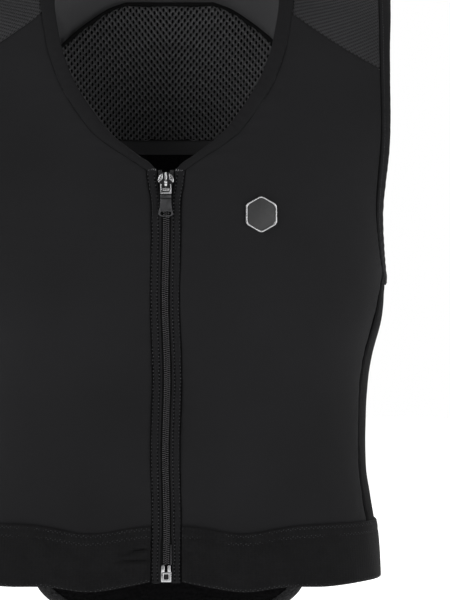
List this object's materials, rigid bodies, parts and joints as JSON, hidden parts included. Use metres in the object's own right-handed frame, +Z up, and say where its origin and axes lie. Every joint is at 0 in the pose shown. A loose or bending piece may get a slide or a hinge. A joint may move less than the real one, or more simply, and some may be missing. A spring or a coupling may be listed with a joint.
{
  "type": "equestrian body protector",
  "caption": "Sleeveless zipped riding vest with a padded back and tail, an elastic waist band and a mesh lined back, held in its worn form.",
  "frame": {"origin": "midway between the neck ends of the two shoulder lines, where the vest hangs on the wearer", "axes": "+X to the wearer's left, -Y out of the front, +Z up"},
  "size_m": [0.3898, 0.2162, 0.6339],
  "materials": {
    "shell_cloth": "matt stretch cloth",
    "yoke_cloth": "matt ribbed cloth",
    "side_cloth": "matt knitted cloth",
    "lining_cloth": "smooth lining",
    "air_mesh": "open air mesh",
    "pad_cover": "brushed loop cloth over foam",
    "elastic": "ribbed elastic",
    "zip_cloth": "woven zip tape",
    "zip_coil": "satin nylon",
    "zip_metal": "plated zinc",
    "badge_plate": "fine textured"
  },
  "bodies": {
    "vest": {"front_panel_left": "shell_cloth", "shoulder_yoke_left": "yoke_cloth", "side_panel_left": "side_cloth", "armhole_binding_left": "shell_cloth", "zip_placket_left": "zip_cloth", "zip_tape_left": "zip_cloth", "zip_coil_left": "zip_coil", "zip_top_stop_left": "zip_metal", "front_panel_right": "shell_cloth", "shoulder_yoke_right": "yoke_cloth", "side_panel_right": "side_cloth", "armhole_binding_right": "shell_cloth", "zip_placket_right": "zip_cloth", "zip_tape_right": "zip_cloth", "zip_coil_right": "zip_coil", "zip_top_stop_right": "zip_metal", "back_panel": "shell_cloth", "back_protector": "pad_cover", "back_mesh_lining": "air_mesh", "lining_tape": "lining_cloth", "neck_binding": "shell_cloth", "waist_band": "elastic", "zip_slider": "zip_metal", "zip_box": "zip_metal", "zip_pin": "zip_metal", "badge_base": "badge_plate", "badge_rim": "zip_metal"},
    "pull": {"zip_pull": "zip_metal"}
  },
  "joints": [
    {"name": "pull_swing", "type": "hinge", "parent": "vest", "child": "pull", "pos_m": [0, -0.118, -0.2264], "axis": [-1, 0, 0], "range_deg": [0, 160]}
  ]
}
